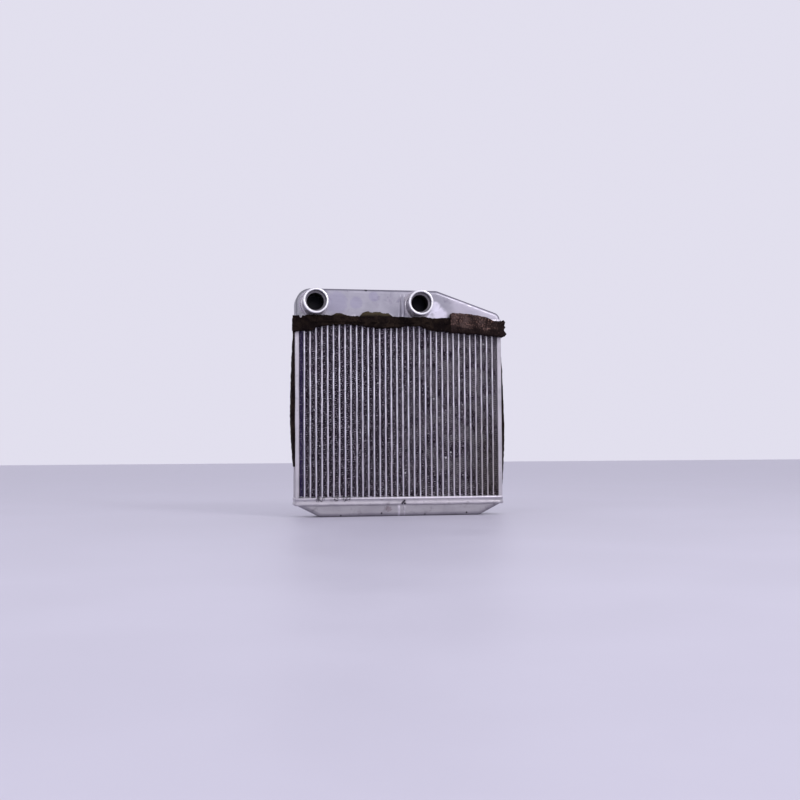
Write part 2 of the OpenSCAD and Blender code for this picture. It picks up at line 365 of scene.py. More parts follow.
def tank_material():
    """Tank sheet with pale whitish patches right of the right stub, dark smudges and a lighter worn
    band near its foot.
    """
    s, look = pressed_aluminium(
        "tank_aluminium", (0.43, 0.415, 0.47), (0.31, 0.30, 0.35), (0.18, 0.16, 0.22)
    )
    wipe = s.noise(5, detail=5, distort=1.0)
    front = s.ramp("Y", -12.0, -13.0)
    for x, rise, radius in ((31.0, 17.0, 11.0), (37.0, 10.5, 12.0), (25.0, 8.5, 8.0)):
        near = s.near(x, CORE_HIGH_Z + rise, radius)
        patch = s.times(s.between(s.times(near, wipe), 0.10, 0.36), front)
        s.tint(patch, (0.78, 0.75, 0.86), 0.75)
    for x, rise, radius in ((-58.0, 20.0, 16.0), (-40.0, 20.0, 9.0), (-24.0, 26.0, 7.0)):
        near = s.near(x, CORE_HIGH_Z + rise, radius)
        smudge = s.between(s.times(near, wipe), 0.08, 0.22)
        s.tint(smudge, (0.26, 0.24, 0.37), 0.35)
    # painted shade: a dark line along the tank's rounded edges, between front face and side wall
    bend = s.between(s.depth(), 12.7 * MM, 12.3 * MM)
    bend = s.times(bend, s.between(s.depth(), 9.2 * MM, 10.4 * MM))
    s.tint(bend, (0.13, 0.12, 0.16), 0.75)
    # painted light: the sloped right part of the top tank made lighter
    slope = s.ramp("X", 42.0, 56.0, 0.0, 0.4)
    s.tint(slope, (0.66, 0.62, 0.71), front)
    # painted shade, greyish green, over the left end of the top tank
    left_end = s.ramp("X", -72.0, -88.0, 0.0, 0.5)
    s.tint(left_end, (0.30, 0.31, 0.31))
    nick = s.between(s.near(-31.0, TANK_TOP_Z - 1.0, 2.0), 0.1, 0.6)
    pick = s.ramp("Y", -5.0, -10.0)
    s.tint(nick, (0.05, 0.045, 0.06), pick)
    foot = s.ramp("Z", CORE_HIGH_Z + 11.5, CORE_HIGH_Z + 7.5)
    worn = s.times(foot, s.between(s.noise(7, detail=5), 0.42, 0.62))
    s.tint(worn, (0.66, 0.63, 0.70), 0.5)
    return s.finish(*look)


def bottom_tank_material():
    """Tank sheet, rougher than the top one, with painted shade darkening it along its lower edge."""
    s, look = pressed_aluminium(
        "bottom_tank_aluminium",
        (0.42, 0.40, 0.43),
        (0.33, 0.31, 0.34),
        (0.16, 0.145, 0.16),
        rough=(0.42, 0.62),
    )
    # painted shade: darker along the lower edge, where the tank meets the floor
    foot = s.ramp("Z", 0.0, 3.5, 0.55, 0.0)
    s.tint(foot, (0.22, 0.20, 0.24))
    pick = s.ramp("Y", 0.0, -10.0)
    for x, z, radius in ((-17.8, 2.8, 1.3), (-54.5, 1.2, 1.2), (60.5, 2.4, 1.4), (22.0, 1.4, 1.0)):
        nick = s.between(s.near(x, z, radius), 0.1, 0.6)
        s.tint(nick, (0.05, 0.04, 0.05), pick)
    scab = s.between(s.times(s.near(-11.2, 6.6, 6.5), s.noise(1.3)), 0.24, 0.40)
    scab = s.times(scab, s.times(pick, 0.45))
    s.tint(scab, (0.16, 0.10, 0.12))
    for x, half_w in zip(BOTTOM_BEADS, (1.7, 0.9)):
        away = s.calc("ABSOLUTE", s.calc("SUBTRACT", s.axis("X"), x * MM))
        # painted highlight along the crest of each pressed bead
        crest_highlight = s.between(away, half_w * MM, 0.2 * MM)
        s.tint(crest_highlight, (0.70, 0.66, 0.74), 0.35 * half_w)
    return s.finish(*look)


def header_material():
    """Header sheet with crusts of flux where it meets the core."""
    s, (roughness, normal, metallic) = pressed_aluminium(
        "header_aluminium", (0.52, 0.49, 0.53), (0.40, 0.38, 0.41), (0.18, 0.16, 0.18)
    )
    crust = s.between(s.noise(2.2, detail=5, distort=0.8), 0.52, 0.66)
    edge = s.ramp("Z", CORE_LOW_Z - 1.8, CORE_LOW_Z, 0.0, 0.8)
    s.tint(crust, (0.82, 0.80, 0.86), edge)
    # painted highlight along the header's top bend, weak at the left and strong at the right
    edge_highlight = s.ramp("X", -60.0, 20.0, 0.15, 0.8)
    top = s.ramp("Z", CORE_LOW_Z - 2.0, CORE_LOW_Z - 1.2)
    s.tint(top, (0.86, 0.82, 0.88), edge_highlight)
    front = s.ramp("Y", 0.0, -10.0)
    chips = s.times(s.between(s.noise(1.4, detail=3), 0.47, 0.52), front)
    for x in (-75.0, -71.5, -59.0, -51.5, -48.0):
        chipped = s.between(s.near(x, CORE_LOW_Z - 1.3, 3.4), 0.1, 0.4)
        s.tint(chipped, (0.05, 0.04, 0.05), chips)
    # painted shade in the dent of the crimp
    for x, fall in ((0.9, 5.7), (1.9, 4.6), (3.0, 3.6), (3.3, 5.9)):
        crimp_shade = s.between(s.near(x, CORE_LOW_Z - fall, 1.5), 0.1, 0.5)
        s.tint(crimp_shade, (0.03, 0.025, 0.035), front)
    normal = s.bump(crust, 0.12, normal)
    return s.finish(roughness, normal, metallic)


def plate_material():
    s, look = pressed_aluminium(
        "plate_aluminium", (0.56, 0.53, 0.57), (0.45, 0.43, 0.46), (0.25, 0.23, 0.25)
    )
    return s.finish(*look)


def stub_material():
    """Turned and brazed tube, brighter than the sheet: painted highlight at the rim, painted shade on
    neck and bore.
    """
    s, (roughness, normal, metallic) = pressed_aluminium(
        "stub_aluminium",
        (0.74, 0.73, 0.76),
        (0.60, 0.59, 0.62),
        (0.36, 0.34, 0.36),
        rough=(0.26, 0.46),
    )
    # painted highlight on the front of the flange rim
    rim = s.ramp("Y", -32.6, -33.0)
    s.tint(rim, (0.88, 0.87, 0.89))
    # painted shade on the neck behind the flange
    neck = s.ramp("Y", -29.4, -28.9, 0.0, 0.55)
    s.tint(neck, (0.27, 0.24, 0.27))
    # painted shade in the bore
    s.tint(s.inside(), HOLLOW_SHADE)
    rings = s.noise(0.5, detail=2, stretch=(0.2, 1, 0.2))
    normal = s.bump(rings, 0.02, normal)
    return s.finish(roughness, normal, metallic)


def dust_share(s):
    """How dusty the core is: little at the left, more to the right."""
    side = s.ramp("X", -30.0, 60.0, 0.06, 1.0)
    return s.times(side, s.between(s.noise(13, detail=6, distort=0.5), 0.36, 0.62))


def brown_share(s):
    """Brownish grime, in the lower right corner of the core."""
    side = s.ramp("X", 50.0, 85.0)
    low = s.ramp("Z", 40.0, 120.0, 1.0, 0.1)
    return s.times(side, low)


def tube_material():
    """Flat tubes: bright where clean, with stained and dusty stretches."""
    s = Shader("tube_aluminium")
    stretch = s.noise(6, detail=5, stretch=(3, 1, 0.35))
    spots = s.noise(1.3, detail=4)
    s.colour = s.mix(s.between(stretch, 0.35, 0.65), (0.64, 0.61, 0.68), (0.93, 0.91, 0.96))
    dull = s.ramp("Z", 120.0, 30.0, 0.0, 0.4)
    s.tint(dull, (0.50, 0.46, 0.54))
    s.tint(s.between(spots, 0.57, 0.68, 0.0, 0.75), (0.20, 0.17, 0.21))
    dust = s.times(dust_share(s), 0.45)
    s.tint(dust, (0.42, 0.39, 0.40))
    s.tint(brown_share(s), (0.30, 0.26, 0.22), 0.45)
    # painted shade: the tube sides behind the rounded nose, between the fins, are painted near black
    nose = s.between(s.depth(), 10.4 * MM, 10.75 * MM)
    s.colour = s.mix(nose, (0.010, 0.007, 0.011), s.colour)
    roughness = s.between(spots, 0.3, 0.7, 0.30, 0.55)
    normal = s.bump(spots, 0.05)
    s.feed(s.surface.inputs["Specular IOR Level"], s.between(nose, 0.0, 1.0, 0.05, 0.5))
    return s.finish(roughness, normal, s.times(nose, 0.75))


def fin_material():
    """Fin sheet: very dark, with painted shade deeper in the core and painted highlights in specks
    along its front edges.
    """
    s = Shader("fin_aluminium")
    specks = s.noise(1.2, detail=3, rough=0.65)
    cloud = s.noise(10, detail=5)
    front = s.depth()
    s.colour = s.mix(s.between(cloud, 0.3, 0.7), (0.020, 0.009, 0.024), (0.036, 0.020, 0.042))
    # painted shade: the fin is painted near black deeper in the core
    clear_of_shade = s.between(front, 9.6 * MM, 10.9 * MM)
    s.colour = s.mix(clear_of_shade, (0.008, 0.005, 0.009), s.colour)
    dusty = dust_share(s)
    # painted highlight: specks along the front edges made bright, as edges bent toward the light
    edge = s.between(front, 10.6 * MM, 10.9 * MM)
    edge_glints = s.times(edge, s.between(specks, 0.49, 0.64, 0.02, 1.0))
    s.tint(edge_glints, (0.86, 0.76, 0.90))
    dust = s.times(dusty, s.between(specks, 0.34, 0.54, 0.4, 1.0))
    dust = s.times(dust, s.between(front, 8.0 * MM, 10.8 * MM, 0.15, 0.85))
    s.tint(dust, (0.46, 0.42, 0.46))
    violet = s.ramp("X", -86.0, -87.5)
    s.tint(violet, (0.07, 0.05, 0.22), 0.4)
    s.tint(brown_share(s), (0.06, 0.045, 0.03), 0.55)
    roughness = s.between(specks, 0.4, 0.7, 0.42, 0.75)
    s.surface.inputs["Specular IOR Level"].default_value = 0.05
    return s.finish(roughness, s.bump(specks, 0.06), 0.0)


def foam_material(name, base, grime, pale, grime_amount, darkest_below=False):
    """Old open-cell foam: torn pores, greasy dark patches and pale dust.

    With its last argument set, the length is darkest along its lower edge and at its right end.
    Returns the name, which the material shares, and the material.
    """
    s = Shader(name)
    cells = s.pores(0.9)
    big_cells = s.pores(2.6)
    cloud = s.noise(11, detail=6, distort=0.4)
    crumbs = s.noise(1.3, detail=5, rough=0.75)
    s.colour = s.mix(s.between(cloud, 0.38, 0.60, 0.0, grime_amount), base, grime)
    # painted shade: pores darkened near black
    s.tint(s.between(cells, 0.10, 0.40, 0.8, 0.0), (0.003, 0.002, 0.002))
    s.tint(s.between(s.noise(3.5, detail=5), 0.50, 0.40, 0.0, 0.7), base)
    s.tint(s.between(crumbs, 0.58, 0.72, 0.0, 0.7), pale)
    if darkest_below:
        slant = s.calc("ADD", s.axis("Z"), s.times(s.axis("X"), 0.09))
        slant = s.calc("ADD", slant, s.times(cloud, 7.0 * MM))
        level = (CORE_HIGH_Z + 7.4) * MM
        band = s.between(slant, level + 1.2 * MM, level - 1.6 * MM)
        end = s.ramp("X", 84.0, 91.0)
        darkened = s.times(s.calc("MAXIMUM", band, end), 0.85)
        s.tint(darkened, (0.010, 0.006, 0.006))
        rust = s.between(s.noise(1.2, detail=3), 0.57, 0.65, 0.0, 0.6)
        rust = s.times(rust, s.calc("SUBTRACT", 1.0, darkened))
        s.tint(rust, (0.34, 0.20, 0.16))
    else:
        height = s.calc("SUBTRACT", s.axis("Z"), s.times(cloud, 4.0 * MM))
        fluff = s.between(height, (CORE_HIGH_Z + 5.0) * MM, (CORE_HIGH_Z + 8.0) * MM, 0.0, 0.85)
        s.tint(fluff, (0.075, 0.060, 0.036))
        # painted shadow: a dark line along the fold between the foam's layers
        away = s.calc("SUBTRACT", height, (CORE_HIGH_Z - 0.6) * MM)
        crease_shadow = s.between(s.calc("ABSOLUTE", away), 1.1 * MM, 0.3 * MM, 0.0, 0.85)
        crease_shadow = s.times(crease_shadow, s.between(s.noise(9, detail=3), 0.44, 0.56))
        s.tint(crease_shadow, (0.002, 0.001, 0.001))
    roughness = s.between(crumbs, 0.3, 0.7, 0.78, 1.0)
    normal = s.bump(s.between(big_cells, 0.0, 0.5), 0.5)
    normal = s.bump(s.between(cells, 0.0, 0.45), 0.3, normal)
    normal = s.bump(crumbs, 0.35, normal)
    s.surface.inputs["Specular IOR Level"].default_value = 0.06
    return name, s.finish(roughness, normal, 0.0)


def flux_material():
    """White, crusty brazing flux."""
    s = Shader("braze_flux")
    crust = s.noise(0.7, detail=5, rough=0.7)
    s.colour = s.mix(s.between(crust, 0.4, 0.62), (0.30, 0.27, 0.32), (0.66, 0.63, 0.70))
    roughness = s.between(crust, 0.3, 0.7, 0.45, 0.8)
    return s.finish(roughness, s.bump(crust, 0.12), 0.35)


def lint_material():
    """Grey-white lint and crushed metal caught in the fins."""
    s = Shader("caught_lint")
    fuzz = s.noise(0.5, detail=5, rough=0.7)
    s.colour = s.mix(s.between(fuzz, 0.35, 0.65), (0.45, 0.43, 0.45), (0.85, 0.83, 0.86))
    return s.finish(s.between(fuzz, 0.3, 0.7, 0.6, 0.95), s.bump(fuzz, 0.1), 0.1)


# ---------------------------------------------------------------- tubes


def obround(half_length, half_width, steps=8):
    """A slot with round ends, its length along the second coordinate."""
    reach = half_length - half_width
    front = arc((0, -reach), half_width, -180, 0, steps)
    back = arc((0, reach), half_width, 0, 180, steps)
    return np.concatenate([front, back])


def flat_tube(index, material):
    """A flat tube with two water passages, its nose a little wavy and dented."""
    rng = random.Random(100 + index)
    x = TUBE_X[index]
    outline = obround(TUBE_HALF_D, TUBE_T / 2)
    nose = smooth_step(np.abs(outline[:, 1]), TUBE_HALF_D - 2.0, TUBE_HALF_D - 0.3)
    front = outline[:, 1] < 0
    dents = []
    for _ in range(rng.randint(1, 4)):
        at, width = rng.uniform(CORE_LOW_Z + 6, CORE_HIGH_Z - 10), rng.uniform(1.2, 3.2)
        dents.append((at, width, rng.uniform(0.15, 0.55), rng.uniform(-0.25, 0.25)))
    free_heights = np.linspace(CORE_LOW_Z + 0.8, CORE_HIGH_Z - 0.8, 120)
    heights = [TUBE_LOW[2], CORE_LOW_Z, *free_heights, CORE_HIGH_Z, TUBE_HIGH[2]]
    sections = []
    for z in heights:
        free = smooth_step(z, CORE_LOW_Z, CORE_LOW_Z + 4)
        free *= smooth_step(-z, -CORE_HIGH_Z, -CORE_HIGH_Z + 4)
        wander = noise.noise(Vector((index * 7.7, z / 19, 0.5))) * 0.16
        wander += noise.noise(Vector((index * 3.1, z / 5, 9.5))) * 0.07
        depth = noise.noise(Vector((index * 5.3, z / 11, 4.5))) * 0.12
        for at, width, deep, aside in dents:
            fall = math.exp(-(((z - at) / width) ** 2))
            depth -= deep * fall
            wander += aside * fall
        section = outline.copy()
        section[:, 0] += nose * wander * free * np.where(front, 1.0, -0.6)
        section[:, 1] += nose * depth * free * np.where(front, -1.0, 1.0)
        sections.append(section + (x, 0))
    port_half = (TUBE_HALF_D - TUBE_WALL - TUBE_WALL / 2) / 2
    port_shift = TUBE_WALL / 2 + port_half
    port = obround(port_half, TUBE_T / 2 - TUBE_WALL, 5)
    ports = [port + (x, shift) for shift in (-port_shift, port_shift)]
    ends = (TUBE_LOW[2], TUBE_HIGH[2])
    parts = [extruded(sections, heights, closed_ends=False)]
    parts += [extruded([hole, hole], ends, closed_ends=False) for hole in ports]
    parts += lids([outline + (x, 0), *ports], ends)
    piece = mesh_object(f"flat_{TUBES[index]}", *joined(parts), material, sharp=50)
    return place(piece, "tube_aluminium", TUBES[index])


# ---------------------------------------------------------------- fins

FIN_PITCH = 1.9
FIN_T = 0.1
FIN_BURR = (0.30, 0.08)
LOUVRE_BANKS = ((-9.6, -0.9, 1), (0.9, 9.6, -1))
LOUVRES = 5
LOUVRE_TILT = math.radians(33)
RAIL = 0.45


def fin_crests(strip, low_z, waves):
    """Heights of the crests on the left and on the right of one strip, slightly uneven."""
    rng = random.Random(500 + strip)
    phase = rng.uniform(-0.4, 0.4)
    left, right = [], []
    for k in range(waves):
        left.append(low_z + phase + k * FIN_PITCH + rng.uniform(-0.1, 0.1))
        right.append(low_z + phase + (k + 0.5) * FIN_PITCH + rng.uniform(-0.1, 0.1))
    return left, right


def fin_outline(x, width, left, right, rising, falling):
    """The zigzag of one fin sheet seen from the front, as a closed outline.

    rising and falling are the thicknesses of the legs that rise and fall to the right.
    """
    upper, lower = [], []
    for a, b in zip(left, right):
        upper += [(x, a - falling), (x, a + rising), (x + width - FIN_T, b)]
        lower += [(x + FIN_T, a), (x + width, b - rising), (x + width, b + falling)]
    return np.array(upper + lower[::-1])


def crushed(points):
    """Pushes the front and back edges of the fins about, as handling bends them."""
    x, y, z = points.T
    push = soft_noise(x, y * 0, z, 7.0, 1.0)
    wild = smooth_step(soft_noise(x, y * 0, z, 16.0, 6.0), 0.12, 0.45)
    small = soft_noise(x, y * 0, z, 1.7, 10.0)
    edge = smooth_step(np.abs(y), 9.4, 11.0)
    return np.column_stack([x, y, z + edge * (0.2 * push + wild * 0.4 * small)])


def fin_sheet(strip, x, width, low_z, waves, half_d):
    """One louvred strip: plain bands at the front, middle and back, with slats between them."""
    left, right = fin_crests(strip, low_z, waves)
    plain = fin_outline(x, width, left, right, FIN_T, FIN_T)
    burr = fin_outline(x, width, left, right, *FIN_BURR)
    front, back = LOUVRE_BANKS
    bands = [
        ((-half_d, -half_d + 0.3, -half_d + 0.6, front[0]), (burr, burr, plain, plain)),
        ((front[1], back[0]), (plain, plain)),
        ((back[1], half_d - 0.6, half_d - 0.3, half_d), (plain, plain, burr, burr)),
    ]
    parts = [extruded(outlines, depths, facing) for depths, outlines in bands]
    legs = []
    for k in range(waves):
        legs.append((left[k], right[k]))
        if k + 1 < waves:
            legs.append((left[k + 1], right[k]))
    inner = width - 2 * RAIL
    slats = []
    for start, stop, sense in LOUVRE_BANKS:
        for k in range(waves):
            parts.append(fin_rail(k, x, 1, width, left, right, start, stop))
            parts.append(fin_rail(k, x + width, -1, width, right, left, start, stop))
        step = (stop - start) / LOUVRES
        for low, high in legs:
            rise = (high - low) / width
            for i in range(LOUVRES):
                middle = start + (i + 0.5) * step
                slats.append((low + rise * RAIL, rise * inner, middle, sense * LOUVRE_TILT))
    half_chord = (front[1] - front[0]) / LOUVRES * 0.5
    parts.append(slat_boxes(np.array(slats), x + RAIL, inner, half_chord))
    return joined(parts)


def fin_rail(k, wall, sense, width, crests, others, start, stop):
    """The bend of the sheet along the tube at wall, beside the louvres.

    sense is 1 for the tube on the strip's left and -1 for the one on its right.
    """
    here, above, below = crests[k], others[k], others[k]
    if sense > 0:
        below = others[k - 1] if k > 0 else others[k] - FIN_PITCH
    else:
        above = others[k] + FIN_PITCH if k + 1 == len(others) else others[k + 1]
    up = (above - here) / width * RAIL
    down = (here - below) / width * RAIL
    half = FIN_T / 2
    edge = wall + sense * RAIL
    loop = [
        (wall, here - half),
        (wall, here + half),
        (edge, here + half + up),
        (edge, here - half + up),
        (wall + sense * FIN_T, here),
        (edge, here + half - down),
        (edge, here - half - down),
    ]
    return extruded([np.array(loop)] * 2, (start, stop), facing)


def slat_boxes(slats, x, width, half_chord):
    """Thin tilted boxes for all the louvres of one strip at once."""
    count = len(slats)
    z, rise, middle, tilt = slats.T
    corners = np.zeros((count, 8, 3))
    index = 0
    for end in (0.0, 1.0):
        for along, over in ((-1, -1), (1, -1), (1, 1), (-1, 1)):
            dy = along * half_chord * np.cos(tilt) - over * FIN_T / 2 * np.sin(tilt)
            dz = along * half_chord * np.sin(tilt) + over * FIN_T / 2 * np.cos(tilt)
            corners[:, index, 0] = x + end * width
            corners[:, index, 1] = middle + dy
            corners[:, index, 2] = z + end * rise + dz
            index += 1
    box = np.array([[0, 1, 2, 3], [7, 6, 5, 4], [0, 4, 5, 1], [1, 5, 6, 2], [2, 6, 7, 3], [3, 7, 4, 0]])
    faces = (np.arange(count)[:, None, None] * 8 + box[None]).reshape(-1, 4)
    return corners.reshape(-1, 3), faces.tolist()


def fin_bank(bank, material):
    """Five louvred fin strips, in the place of one CAD node."""
    low, high = mm_box(BANKS[bank])
    waves = round((high[2] - low[2]) / FIN_PITCH + 0.5)
    parts = []
    for i in range(STRIPS_PER_BANK):
        strip = bank * STRIPS_PER_BANK + i
        x = low[0] + i * PITCH
        parts.append(fin_sheet(strip, x, PITCH - TUBE_T, low[2], waves, high[1]))
    points, faces = joined(parts)
    name = f"louvred_fins_{bank + 1}"
    piece = mesh_object(name, crushed(points), faces, material, sharp=30, weld=0)
    return place(piece, "fin_aluminium", BANKS[bank])


# ---------------------------------------------------------------- headers


def ring_path(out, spacing=2.5):
    """Rounded rectangle outside the tank mouth by out, with the same count of points always."""
    half_w, half_d, radius = TANK_HALF_W + out, TANK_HALF_D + out, EDGE_R + out
    cx, cy = TANK_HALF_W - EDGE_R, TANK_HALF_D - EDGE_R
    long_side = max(2, round(2 * cx / spacing))
    short_side = max(2, round(2 * cy / spacing))
    points = []
    for corner, (sx, sy) in enumerate(((1, -1), (1, 1), (-1, 1), (-1, -1))):
        points.append(arc((sx * cx, sy * cy), radius, -90 + 90 * corner, 90 * corner, 7))
        steps = short_side if corner % 2 == 0 else long_side
        start = points[-1][-1]
        stop = np.array([(half_w, cy), (-cx, half_d), (-half_w, -cy), (cx, -half_d)][corner])
        inner = np.arange(1, steps)[:, None] / steps
        points.append(start + (stop - start) * inner)
    return np.concatenate(points)


def header_profile():
    """Section of the header rim: how far outside the tank mouth, and how far from the core."""
    h = HEADER_H
    groove = [(0.02, 1.6), (0.18, 2.0), (0.38, 2.5), (0.44, 3.3), (0.40, 4.2), (0.24, 4.7), (0.02, 5.0)]
    lip = [(-0.06, 5.5), (-0.06, 6.1), (0.05, 6.7), (0.35, h - 0.06), (0.75, h)]
    mouth = [(0.3, h - 0.02), (0.05, h - 0.25), (0.0, h - 0.7)]
    plate = [(0.0, PLATE_T + 0.8), (-0.3, PLATE_T + 0.25), (-1.0, PLATE_T), (-1.5, PLATE_T)]
    corner = arc((RIM_T - 1.0, 1.0), 1.0, -90, 0, 5)
    outside = [(RIM_T - sunk, up) for sunk, up in groove + lip]
    return np.array([(-1.5, 0.0), (-0.4, 0.0), *corner, *outside, *mouth, *plate])


def header(name, node, face_z, sense, material, seed):
    """A slotted header plate with its folded rim. sense is the rim's direction along Z."""
    rows = []
    for out, up in header_profile():
        ring = ring_path(out)
        x, y = ring[:, 0], ring[:, 1]
        z = np.full(len(ring), up)
        show = smooth_step(out, 0.3, 1.2)
        wave = soft_noise(x, y, z * 0 + seed, 24, seed) * 0.16
        wave += soft_noise(x, y, z, 5, seed + 3) * 0.05
        lip = smooth_step(up, 4.6, 6.0) * show
        crimp = np.exp(-(((x - CRIMP_X) / 1.1) ** 2)) * (y < 0)
        points = np.column_stack([x, y, z])
        points[:, 1] += np.sign(y) * wave * show * (np.abs(y) > TANK_HALF_D - EDGE_R)
        points[:, 2] += lip * soft_noise(x, y, z * 0, 13, seed + 7) * 0.35
        points[:, 2] += -1.6 * crimp * lip
        points[:, 1] += 0.7 * crimp * smooth_step(up, 3.0, 4.6) * show
        rows.append(points)
    slots = [obround(TUBE_HALF_D, TUBE_T / 2) + (x, 0) for x in TUBE_X]
    tongue_x = mm_box("right_side_plate")[0][0]
    for side in (-1, 1):
        a, b = sorted(side * v for v in (tongue_x, tongue_x + TONGUE_T))
        d = TONGUE_HALF_D
        slots.append(np.array([(a, -d), (b, -d), (b, d), (a, d)]))
    faces_z = (0.0, PLATE_T)
    parts = [(np.concatenate(rows), grid_quads(len(rows), len(rows[0]), wrap=True))]
    parts += lids([ring_path(-1.5), *slots], faces_z)
    parts += [extruded([slot, slot], faces_z, closed_ends=False) for slot in slots]
    points, faces = joined(parts)
    points[:, 2] = face_z + sense * points[:, 2]
    piece = mesh_object(name, points, faces, material, sharp=60)
    return place(piece, "header_aluminium", node)


# ---------------------------------------------------------------- tanks


def top_tank_outline(shrink):
    """Front outline of the top tank from its left lower corner over the top to the right one.

    Returns the points, their outward directions and the counts of points in the left end and
    before the right end.
    """
    half_w, top, low = TANK_HALF_W, TANK_TOP_Z, CORE_HIGH_Z + PLATE_T
    left_r, shoulder_r, right_r = 13.5, 8.0, 7.0
    slope = math.radians(19.3)
    shoulder_x = SHOULDER_X - shoulder_r * math.tan(slope / 2)
    right_x = half_w - right_r
    right_z = top - (right_r + (right_x - SHOULDER_X) * math.sin(slope)) / math.cos(slope)
    left_centre = (left_r - half_w, top - left_r)
    lean = 90 - math.degrees(slope)
    pieces = [
        line((-half_w, low), (-half_w, left_centre[1]), 1.2),
        arc(left_centre, left_r, 180, 90, 18),
        line((left_centre[0] + 0.9, top), (shoulder_x, top), 0.45),
        arc((shoulder_x, top - shoulder_r), shoulder_r, 90, lean, 4),
    ]
    right_arc = arc((right_x, right_z), right_r, lean, 0, 10)
    pieces += [
        line(pieces[-1][-1], right_arc[0], 1.0)[1:],
        right_arc,
        line((half_w, right_z - 1.0), (half_w, low), 1.2),
        np.array([(half_w, low)]),
    ]
    left_end = len(pieces[0]) + len(pieces[1]) - 1
    right_start = sum(len(p) for p in pieces[:5])
    points = np.concatenate(pieces)
    return shrunk(points, shrink), left_end, right_start


def bottom_tank_outline(shrink):
    """Front outline of the bottom tank from its left upper corner under the foot to the right."""
    half_w, low = TANK_HALF_W, CORE_LOW_Z - PLATE_T
    foot_half_w, foot_r, toe_r = 73.0, 10.0, 5.0
    slope = math.radians(27)
    toe_x = half_w - toe_r
    toe_z = (toe_r + (toe_x - foot_half_w) * math.sin(slope)) / math.cos(slope)
    foot_x = foot_half_w - foot_r * math.tan(slope / 2)
    lean = 270 - math.degrees(slope)
    left_toe = arc((-toe_x, toe_z), toe_r, 180, lean, 7)
    left_foot = arc((-foot_x, foot_r), foot_r, lean, 270, 6)
    half = [
        line((-half_w, low), (-half_w, toe_z), 0.9),
        left_toe,
        line(left_toe[-1], left_foot[0], 1.0)[1:],
        left_foot,
    ]
    left = np.concatenate(half)
    middle = line(left_foot[-1], (foot_x, 0.0), 0.6)[1:]
    right = left[::-1] * (-1, 1)
    points = np.concatenate([left, middle, right])
    left_end = len(half[0]) + len(half[1]) - 1
    return shrunk(points, shrink), left_end, len(points) - 1 - left_end


def shrunk(points, shrink):
    """An open outline moved inwards by shrink, and its outward directions."""
    ahead = np.roll(points, -1, axis=0) - points
    ahead[-1] = ahead[-2]
    behind = points - np.roll(points, 1, axis=0)
    behind[0] = behind[1]
    along = ahead / np.linalg.norm(ahead, axis=1)[:, None]
    along += behind / np.linalg.norm(behind, axis=1)[:, None]
    along /= np.linalg.norm(along, axis=1)[:, None]
    outward = np.column_stack([-along[:, 1], along[:, 0]])
    if points[len(points) // 2][1] < points[0][1]:
        outward = -outward
    for end in (0, -1):
        outward[end] = (np.sign(points[end][0]), 0.0)
    return points - outward * shrink, outward


def tank_grid(outline, shrink, face_rows=22, round_rows=7, side_rows=8):
    """A pressed pan as a grid of points: front face, rounded edge, side wall, edge, back face."""
    (points, outward), left_end, right_start = outline
    radius = EDGE_R - shrink
    half_d = TANK_HALF_D - shrink
    open_z = points[0][1]
    inset = points - outward * radius
    base_x = inset[:, 0].copy()
    last = len(points) - 1
    base_x[: left_end + 1] = np.linspace(base_x[0], base_x[left_end], left_end + 1)
    base_x[right_start:] = np.linspace(base_x[right_start], base_x[last], last - right_start + 1)
    base = np.column_stack([base_x, np.full(len(points), open_z)])
    rows = []
    for v in np.linspace(0, 1, face_rows):
        flat = base + (inset - base) * v
        rows.append(facing(flat, -half_d))
    for turn in np.linspace(0, math.pi / 2, round_rows)[1:]:
        reach = inset + outward * radius * math.sin(turn)
        rows.append(facing(reach, -(half_d - radius + radius * math.cos(turn))))
    wall_y = half_d - radius
    for y in np.linspace(-wall_y, 0, side_rows // 2 + 1)[1:]:
        rows.append(facing(points, y))
    back = [row * (1, -1, 1) for row in rows[-2::-1]]
    return np.stack(rows + back)


def bead_profile(x, places):
    """Height of the pressed beads across the tank, from 0 to 1."""
    return sum(np.exp(-(((x - place) / 0.75) ** 2)) for place in places)


def pressed_tank(name, outline, beads, bead_z, material, seed, dents=()):
    """A hollow pressed tank: an outer skin with its marks and a plain inner skin."""
    outer = tank_grid(outline(0.0), 0.0)
    inner = tank_grid(outline(TANK_WALL), TANK_WALL)
    x, y, z = outer[..., 0], outer[..., 1], outer[..., 2]
    broad = smooth_step(np.abs(y), TANK_HALF_D - 1.4, TANK_HALF_D - 0.1)
    clear = smooth_step(np.abs(z - outer[0, 0, 2]), HEADER_H - PLATE_T, HEADER_H + 1.5)
    swell = soft_noise(x, y, z, 34, seed) * 0.22 + soft_noise(x, y, z, 11, seed + 2) * 0.07
    fade = smooth_step(z, bead_z[0], bead_z[0] + 2) * smooth_step(-z, -bead_z[1], 2 - bead_z[1])
    raised = 0.5 * bead_profile(x, beads) * fade
    for at_x, at_z, radius, deep in dents:
        spot = np.exp(-((x - at_x) ** 2 + (z - at_z) ** 2) / radius**2)
        raised = raised - deep * spot * (y < 0)
    outer[..., 1] += np.sign(y) * broad * (clear * swell + raised)
    rows, columns = outer.shape[:2]
    count = rows * columns
    points = np.concatenate([outer.reshape(-1, 3), inner.reshape(-1, 3)])
    faces = grid_quads(rows, columns) + grid_quads(rows, columns, start=count)
    edge = list(range(columns))
    edge += [r * columns + columns - 1 for r in range(1, rows)]
    edge += [(rows - 1) * columns + c for c in range(columns - 2, -1, -1)]
    edge += [r * columns for r in range(rows - 2, 0, -1)]
    for a, b in zip(edge, edge[1:] + edge[:1]):
        faces.append([a, b, b + count, a + count])
    # painted shade: the whole inner skin is marked to be painted near black
    inside = np.repeat([0.0, 1.0], count)
    return mesh_object(name, points, faces, material, sharp=50, inside=inside)


